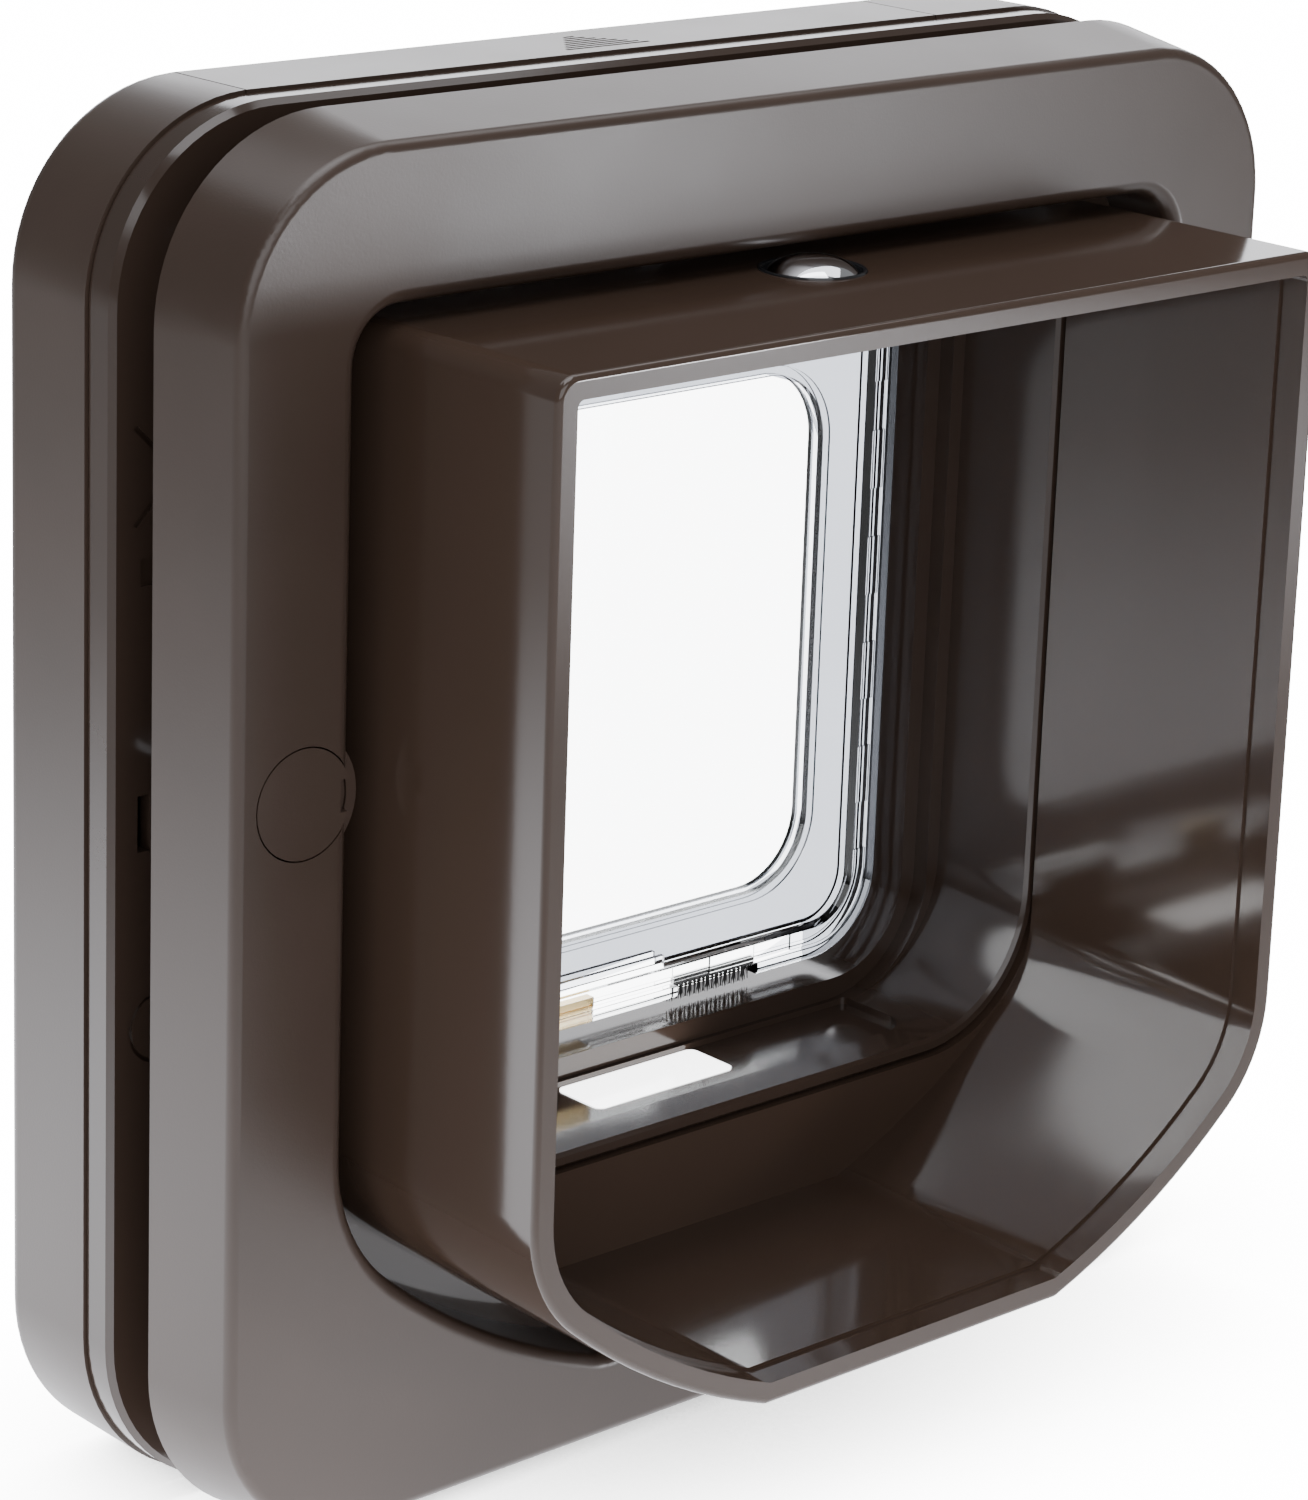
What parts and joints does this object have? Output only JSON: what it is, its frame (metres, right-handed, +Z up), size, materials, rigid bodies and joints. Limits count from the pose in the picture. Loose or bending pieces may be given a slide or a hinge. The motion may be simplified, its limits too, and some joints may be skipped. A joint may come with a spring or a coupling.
{
  "type": "cat flap",
  "caption": "Powered cat flap for a door: outdoor surround and hood, clear swinging flap with latches, and a room-side housing with battery cover, lock knob and button.",
  "frame": {"origin": "bottom centre of the outdoor face of the door panel that the two frames clamp: y = 0 is the back of the outdoor surround, z = 0 the frames' lower edges", "axes": "+X to the right as seen from outdoors, +Y from outdoors into the room, +Z up"},
  "size_m": [0.21, 0.0939, 0.21],
  "materials": {
    "brown_satin": "satin",
    "brown_gloss": "gloss",
    "brown_shell": "satin",
    "clear_plastic": "clear",
    "steel": "satin",
    "gold_plate": "satin",
    "sensor_chrome": "bright",
    "sensor_white": "gloss",
    "cell_jacket": "gloss",
    "copper_wire": "satin",
    "board_green": "satin",
    "black_plastic": "matte",
    "label_white": "matte",
    "bristle": "matte",
    "light_red": "gloss"
  },
  "bodies": {
    "frame": {"outer_surround": "brown_satin", "outer_tunnel": "brown_gloss", "sensor_bezel": "sensor_chrome", "sensor_lens": "sensor_white", "screw_cap_left": "brown_satin", "screw_cap_right": "brown_satin", "clamp_screws": "steel", "flange_screws": "steel", "shell_screws": "steel", "rear_shell": "brown_shell", "room_cover": "brown_satin", "battery_1": "cell_jacket", "battery_2": "cell_jacket", "battery_3": "cell_jacket", "battery_4": "cell_jacket", "contact_bridge": "steel", "contact_lower": "steel", "contact_upper": "steel", "circuit_board": "board_green", "reader_coil": "copper_wire", "latch_motor": "steel", "sill_magnet": "gold_plate", "status_light": "light_red", "blank_label": "label_white"},
    "flap": {"flap_door": "clear_plastic", "hinge_pin_left": "steel", "hinge_pin_right": "steel", "flap_magnet": "gold_plate", "brush_left": "bristle", "brush_right": "bristle"},
    "exit_latch": {"latch_outward": "black_plastic"},
    "entry_latch": {"latch_inward": "black_plastic"},
    "cam": {"motor_cam": "black_plastic"},
    "knob": {"lock_knob": "brown_satin"},
    "battery_lid": {"battery_cover": "brown_satin"},
    "button": {"settings_button": "brown_satin"}
  },
  "joints": [
    {"name": "flap_swing", "type": "hinge", "parent": "frame", "child": "flap", "pos_m": [0, 0.0286, 0.1666], "axis": [1, 0, 0], "range_deg": [-85, 85]},
    {"name": "cam_turn", "type": "hinge", "parent": "frame", "child": "cam", "pos_m": [0.015, 0.024, 0.02], "axis": [-1, 0, 0], "range_deg": [0, 165]},
    {"name": "entry_latch_lift", "type": "slide", "parent": "frame", "child": "entry_latch", "axis": [0, 0, 1], "range_m": [0, 0.0055]},
    {"name": "exit_latch_lift", "type": "slide", "parent": "frame", "child": "exit_latch", "axis": [0, 0, 1], "range_m": [0, 0.0055]},
    {"name": "knob_turn", "type": "hinge", "parent": "frame", "child": "knob", "pos_m": [0, 0.036, 0.0225], "axis": [0, 1, 0], "range_deg": [0, 270]},
    {"name": "battery_lid_slide", "type": "slide", "parent": "frame", "child": "battery_lid", "axis": [0, 1, 0], "range_m": [0, 0.012]},
    {"name": "button_press", "type": "slide", "parent": "frame", "child": "button", "axis": [0, -1, 0], "range_m": [0, 0.0012], "stiffness_N_per_m": 600}
  ],
  "couplings": [
    {"joint": "cam_turn", "follows": "entry_latch_lift", "rad_per_m": 523.6}
  ]
}
